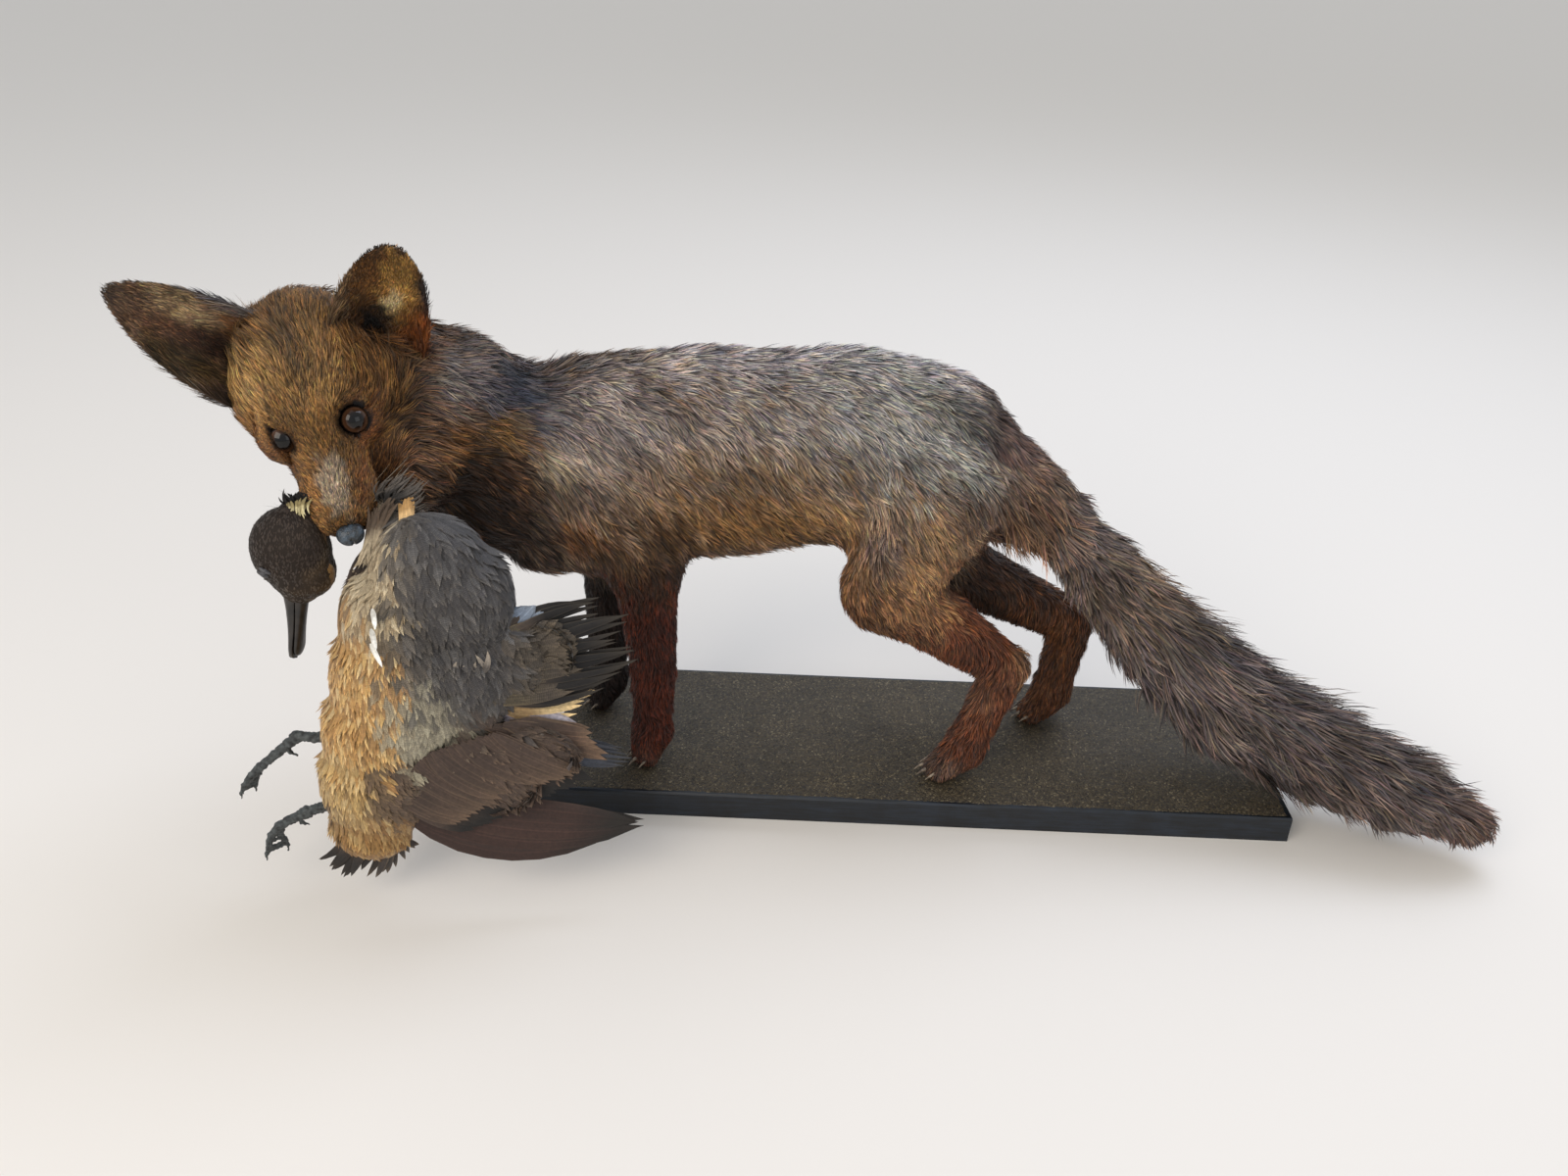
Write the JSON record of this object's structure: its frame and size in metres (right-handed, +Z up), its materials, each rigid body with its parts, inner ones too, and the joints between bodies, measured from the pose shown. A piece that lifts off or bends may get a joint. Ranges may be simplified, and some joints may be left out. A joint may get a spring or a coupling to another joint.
{
  "type": "taxidermy red fox mount with duck on board",
  "caption": "Still life-size mounted fox standing on a painted board, head turned back over its shoulder, a limp duck hanging from its jaws.",
  "frame": {"origin": "centre of the underside of the board", "axes": "+Z up, +X towards the fox's tail, -Y towards the fox's left side, where its head is turned"},
  "size_m": [1.0451, 0.3442, 0.4946],
  "materials": {
    "coat": "coarse reddish-brown fur, grizzled with tan and grey",
    "legs": "short rust-brown fur",
    "brush": "long dark brown fur with paler streaks",
    "ears": "thin fur, dark outside and tan inside",
    "glass_eye": "dark brown polished glass",
    "nose_pad": "grey-black painted skin, slightly shiny",
    "plumage": "mottled brown, cream and grey feathers",
    "board_paint": "wood painted black, with dark grit glued on top"
  },
  "bodies": {
    "root": {"head": "coat", "lower_jaw": "coat", "neck": "coat", "trunk": "coat", "foreleg_left": "legs", "foreleg_right": "legs", "hindleg_left": "legs", "hindleg_right": "legs", "tail_root": "brush", "tail_middle": "brush", "tail_tip": "brush", "ear_left": "ears", "ear_right": "ears", "eye_left": "glass_eye", "eye_right": "glass_eye", "nose": "nose_pad", "duck": "plumage", "board": "board_paint"}
  },
  "joints": []
}
